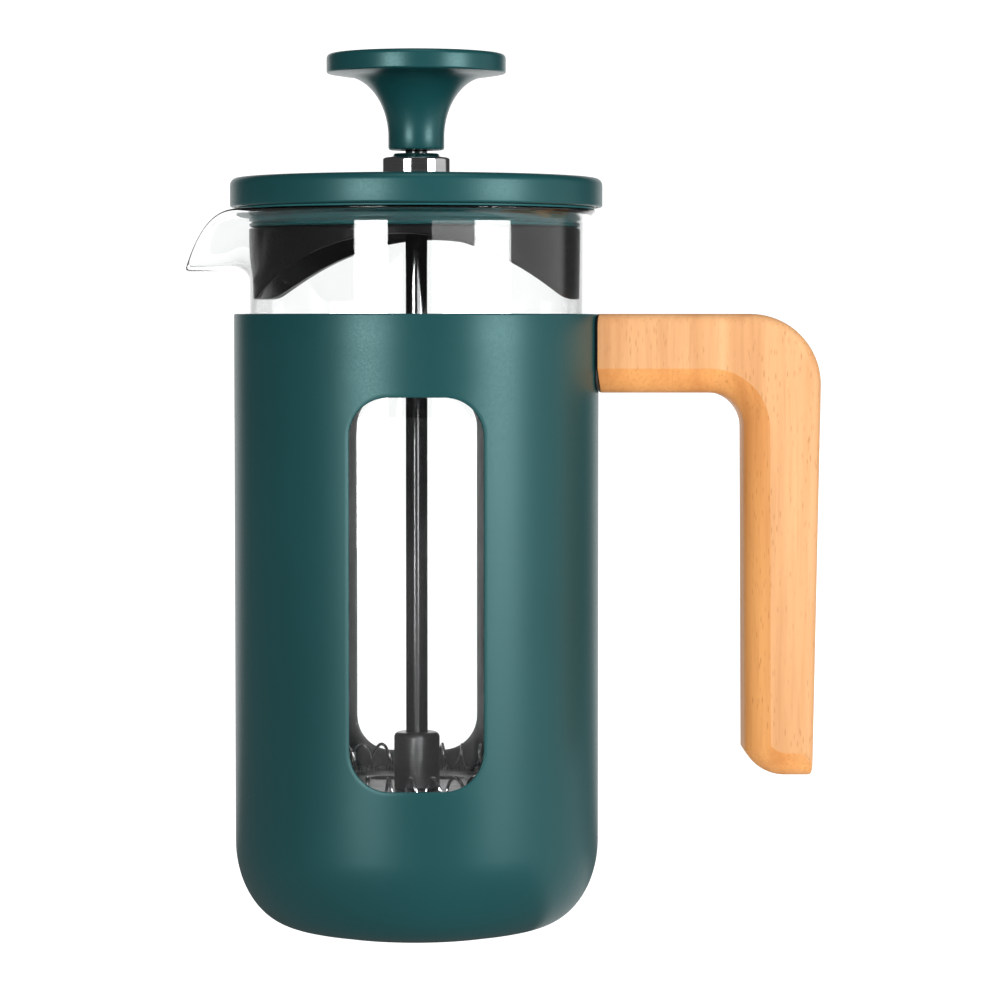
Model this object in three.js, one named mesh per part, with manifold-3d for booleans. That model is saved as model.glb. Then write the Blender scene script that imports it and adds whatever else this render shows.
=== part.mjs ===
// A three-cup french press: a painted steel housing with two windows and a beech handle, a glass
// beaker with a pulled spout, a lid that turns on its seal, and a plunger with a sprung mesh filter.
// Millimetres, +Z up. The origin is on the beaker's axis, on the surface that the press stands on.
// The spout points along -X and the handle along +X.
import * as THREE from "three";
import { mergeVertices } from "three/addons/utils/BufferGeometryUtils.js";
import Module from "manifold-3d";

const wasm = await Module();
wasm.setup();

// ---- driving dimensions ----

const ROUND = 40; // facets round a large piece
const BUSH_ROUND = 30;
const SMALL_ROUND = 20; // facets round a small piece
const TOUCH = 0.05; // gap between flat faces that rest on each other
const LOOSE = 0.3; // gap between curved faces

const FOOT = { radius: 22, proud: 0.8 };

const HOUSING = {
  radius: 37.5,
  wall: 0.8,
  height: 126,
  cornerOut: 12.7, // the rounded base corner's reach inwards
  cornerUp: 17.5, // and upwards
};
const WINDOW = { width: 26.6, bottom: 31.7, top: 109.5, corner: 7.8 };

const BEAKER = {
  radius: 35.2,
  wall: 1.2,
  floor: 2.5,
  corner: 7,
  bottom: 8.5, // height of its underside above the table
  height: 139.6,
  flare: 1.8, // how far the rim curls outwards
  flareHeight: 3.4,
};
const SPOUT = {
  reach: 12.2, // of the lip past the wall
  start: 124.6, // height on the beaker where the wall starts to turn outwards
  bend: 2.4, // radius of that turn
  bendShare: 0.27, // how much of the wall above the start goes into the turn
  halfAngle: 34, // degrees
};

const SEAT = { lip: 12.3, top: 7.4 }; // heights above the steel base
const CENTRING = { inner: 35.55, outer: 36.5, height: 1.8 };

const HANDLE = {
  halfWidth: 10,
  top: 126.8,
  under: 110.65, // underside of the upper limb
  out: 82.7, // outer face of the grip
  inside: 67.1, // inner face of the grip
  end: 31.9,
  outTaper: 1.4,
  inTaper: 0.4,
  outerBend: 14.5,
  innerBend: 7.2,
  outerEdge: 2.5, // rounding of the edges along the outside
  innerEdge: 5, // width of the hollow bevels along the inside, where fingers go
  bevelPower: 1.7, // how steeply those bevels meet the two faces
  endBend: 9.3,
  endBendStart: 75.8,
};
const PAD = { thickness: 0.55, inset: 0.5 };
const SCREW = { low: 114.6, high: 121.4, shank: 2, head: 3, headHeight: 0.85, reach: 48.5 };
const INSERT = { outer: 3.2, length: 12, hole: 2.2 };

const LID = {
  radius: 38.25,
  height: 5.95,
  lift: 0.5, // of its lower edge above the rim of the glass
  edge: 1.5,
  crown: 0.3,
  wall: 1,
  turned: -6, // degrees that its arches are turned from square with the handle
  hole: 4.1,
};
const FLANGE = { radius: 37, under: 0.5, thickness: 1.6, boss: 7 };
const SKIRT = {
  outer: 33.7,
  inner: 32.1,
  neck: 31.8, // the narrower part that carries the seal
  neckInner: 30.4,
  seatDepth: 3.9,
  shoulder: 1.4,
  depth: 18.4,
  draft: 0.2, // how much narrower it is at its lower edge
  arch: 44, // radius of the arches at the front and the back
  archTop: 5.5, // depth of their tops
};
const SEAL = {
  inner: 32.1,
  rib: 33.7,
  groove: 33.2,
  bottom: -3.7,
  top: -0.2,
  lip: 36.6, // radius of the thin lip on the rim of the glass
  lipThickness: 0.4,
};
const BUSH = { flange: 7.1, shoulder: 3.95, top: 5.05, crown: 4.5, stem: 3.9, bore: 2.4, stemEnd: -3.6 };
const LID_NUT = { flats: 12, thickness: 2.5 };

const KNOB = { neckBottom: 160.4, discBottom: 176.1, top: 180, neck: 5.75, disc: 18.4, edge: 0.9 };
const KNOB_INSERT = { outer: 3.2, length: 12 };
const ROD = { radius: 2.25, tip: 1.85, bottom: 22.7, shoulder: 32.7, top: 171.8 };
const HUB = { radius: 4.7, bottom: 29, top: 40.5, edge: 1 };
const PLATE = {
  radius: 30,
  bottom: 28.1,
  thickness: 0.8,
  holes: 8,
  holeRing: 17.5,
  holeRadius: 3.4,
};
const SPRING = { ring: 30.8, coil: 2.9, height: 31.95 };
const MESH = { flat: 27.6, rim: 33.6, top: 27.8, sheet: 0.4, dip: 0.5, turnUp: 2.6 };
const CROSS = { radius: 26.5, top: 27.3, thickness: 0.8, hub: 8, ring: 4, spokes: 4, spoke: 6 };
const NUT = { radius: 5.5, top: 26.4, height: 4.4 };

// ---- materials ----

const finish = (color, roughness, metalness, more = {}) =>
  new THREE.MeshStandardMaterial({ color, roughness, metalness, ...more });
const MATERIAL = {
  paint: finish(0x1f5654, 0.42, 0.1),
  wood: finish(0xe0a566, 0.55, 0),
  glass: finish(0xeef4f4, 0.03, 0, { transparent: true, opacity: 0.3 }),
  steel: finish(0x9b9c9e, 0.3, 1),
  chrome: finish(0xd6d8da, 0.08, 1),
  brass: finish(0xb08d4a, 0.35, 1),
  blackPlastic: finish(0x232427, 0.35, 0),
  greyPlastic: finish(0x55565a, 0.45, 0),
  rubber: finish(0x18191b, 0.7, 0),
  seal: finish(0x245f5c, 0.4, 0),
};

// ---- geometry helpers ----

const radians = THREE.MathUtils.degToRad;

// Points on an elliptical arc, from one angle to another, in degrees.
function arc(x, y, radiusX, radiusY, from, to, steps) {
  return Array.from({ length: steps + 1 }, (_, i) => {
    const angle = radians(from + ((to - from) * i) / steps);
    return [x + radiusX * Math.cos(angle), y + radiusY * Math.sin(angle)];
  });
}

// A solid of revolution round Z. The profile is a list of [radius, height], anticlockwise.
function revolve(profile, facets = ROUND) {
  const points = profile.map(([r, z]) => new THREE.Vector2(Math.max(r, 0), z));
  return new THREE.LatheGeometry(points, facets).rotateX(Math.PI / 2);
}

// The same for a ring, whose profile closes on itself.
const revolveRing = (profile, facets = ROUND) => revolve([...profile, profile[0]], facets);

const tube = (inner, outer, bottom, top, facets = ROUND) =>
  revolveRing([[inner, bottom], [outer, bottom], [outer, top], [inner, top]], facets);

const rod = (radius, bottom, top, facets = SMALL_ROUND) =>
  revolve([[0, bottom], [radius, bottom], [radius, top], [0, top]], facets);

// An outline of [x, z] points, as a prism that runs along Y, centred on y = 0.
function prismAlongY(outline, depth) {
  const shape = new THREE.Shape(outline.map(([x, z]) => new THREE.Vector2(x, z)));
  return new THREE.ExtrudeGeometry(shape, { depth, bevelEnabled: false })
    .rotateX(Math.PI / 2)
    .translate(0, depth / 2, 0);
}

// Joins rings of points into a skin, in order, and closes its two ends with the given triangles.
function skin(rings, startCap, endCap) {
  const count = rings[0].length;
  const position = rings.flat(2);
  const index = [];
  for (let k = 0; k + 1 < rings.length; k++) {
    for (let i = 0; i < count; i++) {
      const j = (i + 1) % count;
      const [a, b, c, d] = [k * count + i, k * count + j, (k + 1) * count + j, (k + 1) * count + i];
      index.push(a, b, c, a, c, d);
    }
  }
  const last = (rings.length - 1) * count;
  startCap.forEach(([a, b, c]) => index.push(a, c, b));
  endCap.forEach(([a, b, c]) => index.push(last + a, last + b, last + c));
  const geometry = new THREE.BufferGeometry();
  geometry.setAttribute("position", new THREE.Float32BufferAttribute(position, 3));
  geometry.setIndex(index);
  return geometry;
}

function toSolid(geometry) {
  const bare = new THREE.BufferGeometry();
  bare.setAttribute("position", geometry.getAttribute("position"));
  bare.setIndex(geometry.index);
  const merged = mergeVertices(bare, 1e-4);
  return new wasm.Manifold(
    new wasm.Mesh({
      numProp: 3,
      vertProperties: new Float32Array(merged.attributes.position.array),
      triVerts: new Uint32Array(merged.index.array),
    }),
  );
}

function toGeometry(solid) {
  const mesh = solid.getMesh();
  const geometry = new THREE.BufferGeometry();
  geometry.setAttribute("position", new THREE.BufferAttribute(mesh.vertProperties, mesh.numProp));
  geometry.setIndex(new THREE.BufferAttribute(mesh.triVerts, 1));
  geometry.computeVertexNormals();
  return geometry;
}

const cut = (geometry, ...tools) =>
  toGeometry(tools.reduce((solid, tool) => solid.subtract(toSolid(tool)), toSolid(geometry)));

// A named mesh at a height on the axis.
function piece(name, geometry, material, height = 0) {
  const mesh = new THREE.Mesh(geometry, material);
  mesh.name = name;
  mesh.position.z = height;
  return mesh;
}

function group(height, ...children) {
  const made = new THREE.Group();
  made.position.z = height;
  made.add(...children);
  return made;
}

// ---- housing ----

function roundedWindow() {
  const { width, bottom, top, corner } = WINDOW;
  const [x, low, high] = [width / 2 - corner, bottom + corner, top - corner];
  return [
    ...arc(x, low, corner, corner, -90, 0, 6),
    ...arc(x, high, corner, corner, 0, 90, 6),
    ...arc(-x, high, corner, corner, 90, 180, 6),
    ...arc(-x, low, corner, corner, 180, 270, 6),
  ];
}

const alongX = (geometry, x, z) => geometry.rotateY(Math.PI / 2).translate(x, 0, z);
const SCREW_HEIGHTS = [SCREW.low, SCREW.high];

// Holes for the two handle screws, seen from a frame whose origin is `base` above the table.
const screwHoles = (radius, from, length, base = 0) =>
  SCREW_HEIGHTS.map((z) => alongX(rod(radius, 0, length), from, z - base));

// A drawn steel cup with a rounded base corner, open at the top, with a window front and back.
function housingShell() {
  const { radius, wall, height, cornerOut, cornerUp } = HOUSING;
  const middle = radius - cornerOut;
  const profile = [
    [0, 0],
    ...arc(middle, cornerUp, cornerOut, cornerUp, -90, 0, 8),
    [radius, height],
    [radius - wall, height],
    ...arc(middle, cornerUp, cornerOut - wall, cornerUp - wall, 0, -90, 8),
    [0, wall],
  ];
  const windows = prismAlongY(roundedWindow(), 3 * radius);
  return cut(revolve(profile), windows, ...screwHoles(INSERT.hole, radius - 4, 8, FOOT.proud));
}

// A silicone cup that fills the base corner and holds the beaker's foot.
function beakerSeat() {
  const { radius, wall, cornerOut, cornerUp } = HOUSING;
  const out = cornerOut - wall - LOOSE;
  const up = cornerUp - wall - TOUCH;
  const lipAngle = -THREE.MathUtils.radToDeg(Math.asin((cornerUp - SEAT.lip) / up));
  const glassFoot = BEAKER.bottom - FOOT.proud + BEAKER.corner;
  const hollow = BEAKER.corner + LOOSE;
  const hollowAngle = -THREE.MathUtils.radToDeg(Math.asin((glassFoot - SEAT.lip) / hollow));
  return revolve([
    [0, wall + TOUCH],
    ...arc(radius - cornerOut, cornerUp, out, up, -90, lipAngle, 5),
    ...arc(BEAKER.radius - BEAKER.corner, glassFoot, hollow, hollow, hollowAngle, -90, 4),
    [0, SEAT.top],
  ]);
}

// A soft ring just inside the rim that keeps the glass off the steel.
const centringRing = () => tube(CENTRING.inner, CENTRING.outer, -CENTRING.height, 0);

// The handle's side outline as [x, z], drawn in from the outside and the inside by two insets.
// It runs out along the top, down the grip and back up the inside.
function handleOutline(root, outerInset, innerInset) {
  const h = HANDLE;
  const bendX = h.out - h.outerBend;
  const hollowX = h.inside - h.innerBend;
  const hollowZ = h.under - h.innerBend;
  const endRadius = h.endBend - innerInset;
  const endFace = h.inside + h.inTaper + innerInset;
  const endAngle = -180 + THREE.MathUtils.radToDeg(Math.acos((h.endBendStart - endFace) / endRadius));
  return [
    [root, h.top - outerInset],
    ...arc(bendX, h.top - h.outerBend, h.outerBend - outerInset, h.outerBend - outerInset, 90, 0, 8),
    [h.out - h.outTaper - outerInset, h.end + innerInset],
    ...arc(h.endBendStart, h.end + h.endBend, endRadius, endRadius, -90, endAngle, 4),
    ...arc(hollowX, hollowZ, h.innerBend + innerInset, h.innerBend + innerInset, 0, 90, 6),
    [root, h.under + innerInset],
  ];
}

// The handle before it is fitted: outlines stacked along Y, drawn in near both faces.
function handleBlank(root, inset = 0) {
  const { halfWidth, outerEdge, innerEdge, bevelPower } = HANDLE;
  const half = halfWidth - inset;
  const past = (edge, y) => Math.max(0, Math.abs(y) - (half - edge));
  const rounded = (radius, y) => radius - Math.sqrt(Math.max(0, radius ** 2 - past(radius, y) ** 2));
  const bevelled = (width, y) => width * (past(width, y) / width) ** bevelPower;
  const steps = [0, 0.3, 0.55, 0.78, 0.93, 1].map((s) => half - innerEdge + innerEdge * s);
  const stations = [...steps.map((y) => -y).reverse(), ...steps];
  const rings = stations.map((y) =>
    handleOutline(root, rounded(outerEdge, y) + inset, bevelled(innerEdge, y) + inset)
      .map(([x, z]) => [x, y, z]),
  );
  const flat = rings[0].map(([x, , z]) => new THREE.Vector2(z, x));
  const cap = THREE.ShapeUtils.triangulateShape(flat, []);
  return skin(rings, cap, cap);
}

const SADDLE = HOUSING.radius + PAD.thickness + 0.15;

// Beech, hollowed at its root to sit against the round housing.
function handle() {
  const [low, high] = [HANDLE.under - 5, HANDLE.top + 5];
  const holes = screwHoles(INSERT.outer + 0.1, SADDLE - 5, INSERT.length + 8);
  return cut(handleBlank(HOUSING.radius - 8), rod(SADDLE, low, high, ROUND), ...holes);
}

// The thin black pad between the handle and the paint.
function handlePad() {
  const inner = HOUSING.radius + 0.1;
  const [low, high] = [HANDLE.under - 5, HANDLE.top + 5];
  const shell = toSolid(tube(inner, inner + PAD.thickness - 0.1, low, high));
  const limb = handleBlank(HOUSING.radius - 8, PAD.inset);
  const pad = shell.intersect(toSolid(limb));
  const holes = screwHoles(INSERT.hole, HOUSING.radius - 4, 8).map(toSolid);
  return toGeometry(holes.reduce((solid, hole) => solid.subtract(hole), pad));
}

// A screw with a low domed head inside the housing, and the brass insert that it screws into.
function handleScrew(z) {
  const start = HOUSING.radius - HOUSING.wall - LOOSE - SCREW.headHeight;
  const dome = arc(0, SCREW.headHeight, SCREW.head, SCREW.headHeight, -90, 0, 4);
  const length = SCREW.reach - start;
  const shaft = [
    [SCREW.shank, SCREW.headHeight],
    [SCREW.shank, length - 1],
    [SCREW.shank - 0.8, length],
    [0, length],
  ];
  return alongX(revolve([...dome, ...shaft], SMALL_ROUND), start, z);
}

const handleInsert = (z) =>
  alongX(tube(SCREW.shank + 0.1, INSERT.outer, 0, INSERT.length, SMALL_ROUND), SADDLE + 0.5, z);

// ---- beaker ----

const smooth = (t) => THREE.MathUtils.smoothstep(t, 0, 1);

// Where a point of the beaker's outside goes, given its angle round Z. The rim curls out a little,
// and the spout is pulled from it: the wall turns outwards and runs level to the lip.
function outsidePoint(angle, height) {
  const { radius, flare, flareHeight, height: top } = BEAKER;
  const { reach, start, bend, bendShare, halfAngle } = SPOUT;
  const away = Math.abs(Math.atan2(Math.sin(angle - Math.PI), Math.cos(angle - Math.PI)));
  const share = THREE.MathUtils.radToDeg(away) / halfAngle;
  const up = Math.max((height - start) / (top - start), 0);
  const pull = share < 1 && up > 0 ? Math.cos((Math.PI / 2) * share) ** 3 : 0;
  const turn = (Math.PI / 2) * Math.min(up / bendShare, 1);
  const level = Math.max(up - bendShare, 0) / (1 - bendShare);
  const out = bend * (1 - Math.cos(turn)) + (reach - bend) * level;
  const curl = flare * smooth((height - top + flareHeight) / flareHeight) ** 2;
  const r = radius + curl + pull * (out - curl);
  const z = height - pull ** 3 * (height - start - bend * Math.sin(turn));
  return new THREE.Vector3(r * Math.cos(angle), r * Math.sin(angle), z);
}

// The same, at a depth into the wall, and never above the rim.
function beakerPoint(angle, height, depth) {
  const [turn, rise] = [1e-3, 1e-2];
  const around = outsidePoint(angle + turn, height).sub(outsidePoint(angle - turn, height));
  const upwards = outsidePoint(angle, height + rise).sub(outsidePoint(angle, height - rise));
  const inwards = upwards.cross(around).normalize();
  const { x, y, z } = outsidePoint(angle, height).addScaledVector(inwards, depth);
  return [x, y, Math.min(z, BEAKER.height)];
}

// Angles round the beaker, close together at the spout.
function beakerAngles() {
  const { halfAngle } = SPOUT;
  const inSpout = 18; // even, so that one step lies on the spout's middle
  const rest = 30;
  const spread = (from, to, count) =>
    Array.from({ length: count }, (_, i) => from + ((to - from) * i) / count);
  const spout = spread(180 - halfAngle, 180 + halfAngle, inSpout);
  const others = spread(180 + halfAngle, 540 - halfAngle, rest);
  return [...spout, ...others].map(radians);
}

function glassBeaker() {
  const { radius, wall, floor, corner, height } = BEAKER;
  const angles = beakerAngles();
  const flat = ([r, z]) => angles.map((a) => [r * Math.cos(a), r * Math.sin(a), z]);
  const side = (z, depth) => angles.map((a) => beakerPoint(a, z, depth));
  const heights = [0, 0.09, 0.18, 0.27, 0.52, 0.77, 0.86, 0.94]
    .map((share) => THREE.MathUtils.lerp(SPOUT.start, height, share));
  const rings = [
    [radius * 0.4, 0],
    ...arc(radius - corner, corner, corner, corner, -90, 0, 5),
  ].map(flat);
  rings.push(...heights.map((z) => side(z, 0)));
  rings.push(side(height, wall * 0.3), side(height, wall * 0.7));
  rings.push(...[...heights].reverse().map((z) => side(z, wall)));
  const inside = arc(radius - corner, corner, corner - wall, corner - floor, 0, -90, 4);
  rings.push(...[...inside, [radius * 0.4, floor]].map(flat));
  const fan = angles.slice(2).map((_, i) => [0, i + 1, i + 2]);
  return skin(rings, fan, fan);
}

// ---- lid ----

function lidCap() {
  const { radius, height, lift, edge, crown, wall, hole } = LID;
  const top = lift + height;
  return revolveRing([
    [radius - wall, lift],
    [radius, lift],
    ...arc(radius - edge, top - edge, edge, edge, 0, 90, 4),
    [radius * 0.5, top + crown * 0.75],
    [BUSH.flange + 1, top + crown],
    [hole, top + crown],
    [hole, top - wall],
    [radius - wall, top - wall],
  ]);
}

// The black moulding under the cap: a flange that rests on the glass, a boss for the bush, and a
// skirt whose lower edge arches up at the front and the back.
function lidInsert() {
  const { under, thickness, radius, boss } = FLANGE;
  const { outer, inner, neck, neckInner, seatDepth, shoulder, depth, draft, arch, archTop } = SKIRT;
  const bossTop = LID.lift + LID.height - LID.wall - TOUCH;
  const moulding = revolveRing([
    [LID.hole, under],
    [neckInner, under],
    [neckInner, -seatDepth],
    [inner, -seatDepth - shoulder],
    [inner - draft, -depth],
    [outer - draft, -depth],
    [outer, -seatDepth],
    [neck, -seatDepth],
    [neck, under],
    [radius, under],
    [radius, under + thickness],
    [boss, under + thickness],
    [boss, bossTop],
    [LID.hole, bossTop],
  ]);
  const arches = arc(0, -archTop - arch, arch, arch, 0, 360, 60).slice(0, -1);
  return cut(moulding, prismAlongY(arches, 3 * outer).rotateZ(radians(LID.turned)));
}

// The seal in the mouth of the glass: a full rib above a thinner one, and a lip that lies on the rim.
function lidSeal() {
  const { inner, rib, groove, bottom, top, lip, lipThickness } = SEAL;
  const ribMiddle = top - 1.2;
  return revolveRing([
    [inner, bottom],
    [groove, bottom],
    [rib, bottom + 0.3],
    [rib, bottom + 0.8],
    [groove, bottom + 1.15],
    ...arc(groove, ribMiddle, rib - groove, 1, -90, 90, 4),
    [groove, TOUCH],
    [lip, TOUCH],
    [lip, TOUCH + lipThickness],
    [inner, TOUCH + lipThickness],
  ]);
}

// A chromed bush that guides the rod. Its stem goes through the cap and the insert into the nut.
function lidBush() {
  const base = LID.lift + LID.height + LID.crown + TOUCH;
  const { flange, shoulder, top, crown, stem, bore, stemEnd } = BUSH;
  return revolveRing(
    [
      [bore, stemEnd],
      [stem, stemEnd],
      [stem, base],
      [flange - 0.3, base],
      [flange, base + 0.3],
      [flange, base + shoulder - 0.6],
      [flange - 0.6, base + shoulder],
      [crown + 0.9, base + shoulder + 0.35],
      [crown, base + top - 0.3],
      [crown - 0.6, base + top - LID.crown],
      [bore, base + top - LID.crown],
    ],
    BUSH_ROUND,
  );
}

function lidNut() {
  const corner = LID_NUT.flats / 2 / Math.cos(Math.PI / 6);
  const top = FLANGE.under - TOUCH;
  return tubeWithFlats(corner, BUSH.stem + 0.1, top - LID_NUT.thickness, top);
}

// A hexagonal prism with a round hole through it.
function tubeWithFlats(corner, bore, bottom, top) {
  const hexagon = rod(corner, bottom, top, 6);
  return cut(hexagon, rod(bore, bottom - 1, top + 1));
}

// ---- plunger ----

// A trumpet: a slim neck that flares into a flat disc for the palm.
function knob() {
  const { neckBottom, discBottom, top, neck, disc, edge } = KNOB;
  const flareStart = neckBottom + 2.6;
  const flareOut = 9.4;
  const hole = KNOB_INSERT.outer + 0.1;
  const holeTop = neckBottom + KNOB_INSERT.length + 1;
  const flare = arc(neck + flareOut, flareStart, flareOut, discBottom - 0.5 - flareStart, 180, 90, 8);
  return revolve([
    [0, holeTop],
    [hole, holeTop],
    [hole, neckBottom],
    [neck, neckBottom],
    ...flare,
    [disc - 0.3, discBottom - 0.1],
    [disc, discBottom + 0.2],
    ...arc(disc - edge, top - edge, edge, edge, 0, 90, 3),
    [0, top],
  ]);
}

function knobInsert() {
  const [bottom, top] = [KNOB.neckBottom + 0.2, KNOB.neckBottom + KNOB_INSERT.length];
  return tube(ROD.radius + 0.08, KNOB_INSERT.outer, bottom, top, SMALL_ROUND);
}

function plungerRod() {
  const { radius, tip, bottom, shoulder, top } = ROD;
  return revolve(
    [
      [0, bottom],
      [tip - 0.4, bottom],
      [tip, bottom + 0.5],
      [tip, shoulder],
      [radius, shoulder + 0.1],
      [radius, top - 0.5],
      [radius - 0.5, top],
      [0, top],
    ],
    SMALL_ROUND,
  );
}

function filterHub() {
  const { radius, bottom, top, edge } = HUB;
  return revolveRing(
    [
      [ROD.tip + 0.1, bottom],
      [radius, bottom],
      ...arc(radius - edge, top - edge, edge, edge, 0, 90, 4),
      [ROD.radius + 0.1, top],
      [ROD.radius + 0.1, ROD.shoulder],
      [ROD.tip + 0.1, ROD.shoulder - 0.05],
    ],
    SMALL_ROUND,
  );
}

// The plate under the coil spring, with a ring of round holes.
function springPlate() {
  const { radius, bottom, thickness, holes, holeRing, holeRadius } = PLATE;
  const disc = tube(ROD.tip + 0.1, radius, bottom, bottom + thickness);
  const drills = Array.from({ length: holes }, (_, i) => {
    const angle = (2 * Math.PI * (i + 0.5)) / holes;
    return rod(holeRadius, bottom - 1, bottom + 2, 12)
      .translate(holeRing * Math.cos(angle), holeRing * Math.sin(angle), 0);
  });
  return cut(disc, ...drills);
}

// The coil spring as the ring that its turns fill.
function filterSpring() {
  const { ring, coil, height } = SPRING;
  return revolveRing(arc(ring, height, coil, coil, 0, 360, 8).slice(0, -1));
}

// The mesh disc: flat over the cross plate, dipped a little round it, and turned up at its rim.
function filterMesh() {
  const { flat, rim, top, sheet, dip, turnUp } = MESH;
  const low = top - dip;
  return revolveRing([
    [ROD.tip + 0.1, top - sheet],
    [flat, top - sheet],
    [flat + 1, low - sheet],
    [rim, low - sheet],
    [rim, low + turnUp - sheet],
    [rim - sheet, low + turnUp - sheet],
    [rim - sheet, low],
    [flat + 1.3, low],
    [flat + 0.3, top],
    [ROD.tip + 0.1, top],
  ]);
}

// The lower plate: a rim and a hub joined by spokes.
function crossPlate() {
  const { radius, top, thickness, hub, ring, spokes, spoke } = CROSS;
  const bottom = top - thickness;
  const disc = toSolid(tube(ROD.tip + 0.1, radius, bottom, top));
  const open = toSolid(tube(hub, radius - ring, bottom - 1, top + 1));
  const bar = (i) =>
    new THREE.BoxGeometry(2 * radius, spoke, 6)
      .rotateZ((Math.PI * (i + 0.5)) / spokes)
      .translate(0, 0, top);
  const bars = Array.from({ length: spokes }, (_, i) => toSolid(bar(i)));
  const gaps = bars.reduce((solid, made) => solid.subtract(made), open);
  return toGeometry(disc.subtract(gaps));
}

function filterNut() {
  const { radius, top, height } = NUT;
  return revolveRing(
    [
      [ROD.tip + 0.1, top - height],
      [radius - 0.8, top - height],
      [radius, top - height + 0.8],
      [radius, top],
      [ROD.tip + 0.1, top],
    ],
    SMALL_ROUND,
  );
}

// ---- assembly ----

const M = MATERIAL;
const rimHeight = BEAKER.bottom + BEAKER.height;

const housing = group(
  0,
  piece("foot_pad", rod(FOOT.radius, 0, FOOT.proud - TOUCH, ROUND), M.rubber),
  piece("housing_shell", housingShell(), M.paint, FOOT.proud),
  piece("beaker_seat", beakerSeat(), M.rubber, FOOT.proud),
  piece("centring_ring", centringRing(), M.rubber, FOOT.proud + HOUSING.height - 0.3),
  piece("handle", handle(), M.wood),
  piece("handle_pad", handlePad(), M.rubber),
  piece("handle_screw_lower", handleScrew(SCREW.low), M.steel),
  piece("handle_screw_upper", handleScrew(SCREW.high), M.steel),
  piece("handle_insert_lower", handleInsert(SCREW.low), M.brass),
  piece("handle_insert_upper", handleInsert(SCREW.high), M.brass),
);

const beaker = group(BEAKER.bottom, piece("glass_beaker", glassBeaker(), M.glass));

const lid = group(
  rimHeight,
  piece("lid_seal", lidSeal(), M.seal),
  piece("lid_cap", lidCap(), M.paint),
  piece("lid_insert", lidInsert(), M.blackPlastic),
  piece("lid_bush", lidBush(), M.chrome),
  piece("lid_nut", lidNut(), M.steel),
);

const plunger = group(
  0,
  piece("knob", knob(), M.paint),
  piece("knob_insert", knobInsert(), M.brass),
  piece("plunger_rod", plungerRod(), M.steel),
  piece("filter_hub", filterHub(), M.greyPlastic),
  piece("spring_plate", springPlate(), M.steel),
  piece("filter_spring", filterSpring(), M.steel),
  piece("filter_mesh", filterMesh(), M.steel),
  piece("cross_plate", crossPlate(), M.steel),
  piece("filter_nut", filterNut(), M.steel),
);

const press = new THREE.Group();
press.add(housing, beaker, lid, plunger);
export default press;
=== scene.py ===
"""The looks of a small french press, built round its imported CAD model."""

import math

import bmesh
import bpy
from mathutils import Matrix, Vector


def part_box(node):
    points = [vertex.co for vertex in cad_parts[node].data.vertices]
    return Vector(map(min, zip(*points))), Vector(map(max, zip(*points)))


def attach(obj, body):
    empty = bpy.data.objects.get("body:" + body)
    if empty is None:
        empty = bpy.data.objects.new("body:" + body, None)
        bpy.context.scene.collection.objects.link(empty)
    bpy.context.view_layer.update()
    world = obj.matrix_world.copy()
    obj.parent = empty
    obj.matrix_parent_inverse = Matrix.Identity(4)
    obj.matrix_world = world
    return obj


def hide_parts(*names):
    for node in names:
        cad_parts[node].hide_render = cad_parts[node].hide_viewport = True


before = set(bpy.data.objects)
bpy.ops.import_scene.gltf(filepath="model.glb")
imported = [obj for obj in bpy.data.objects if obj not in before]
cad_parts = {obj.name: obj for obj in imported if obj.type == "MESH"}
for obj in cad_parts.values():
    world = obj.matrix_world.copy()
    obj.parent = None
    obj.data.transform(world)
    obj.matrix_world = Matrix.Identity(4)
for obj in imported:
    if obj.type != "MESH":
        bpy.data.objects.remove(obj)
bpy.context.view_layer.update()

MM = 0.001
TAU = 2 * math.pi
SHARP = math.radians(40)  # edges turned more than this are shaded sharp


# ---------------------------------------------------------------- profiles

def arc(x, y, rx, ry, start, end, steps):
    """Points on an elliptical arc, from one angle to another, in degrees."""
    points = []
    for i in range(steps + 1):
        a = math.radians(start + (end - start) * i / steps)
        points.append((x + rx * math.cos(a), y + ry * math.sin(a)))
    return points


def rounded(corners, closed=True, steps=4):
    """Corners (x, y) or (x, y, radius) joined by straight lines, with each radius as a true arc."""
    made = []
    count = len(corners)
    for i, corner in enumerate(corners):
        here = Vector(corner[:2])
        radius = corner[2] if len(corner) > 2 else 0
        if not radius or (not closed and i in (0, count - 1)):
            made.append(tuple(here))
            continue
        back = (Vector(corners[i - 1][:2]) - here).normalized()
        on = (Vector(corners[(i + 1) % count][:2]) - here).normalized()
        half = back.angle(on) / 2
        centre = here + (back + on).normalized() * radius / math.sin(half)
        first = here + back * radius / math.tan(half) - centre
        last = here + on * radius / math.tan(half) - centre
        turn = first.angle_signed(last)
        for k in range(steps + 1):
            a = -turn * k / steps
            made.append((
                centre.x + first.x * math.cos(a) - first.y * math.sin(a),
                centre.y + first.x * math.sin(a) + first.y * math.cos(a),
            ))
    return made


def lerp(a, b, t):
    return a + (b - a) * t


def smooth(t):
    t = min(max(t, 0), 1)
    return t * t * (3 - 2 * t)


# ---------------------------------------------------------------- pieces

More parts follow.
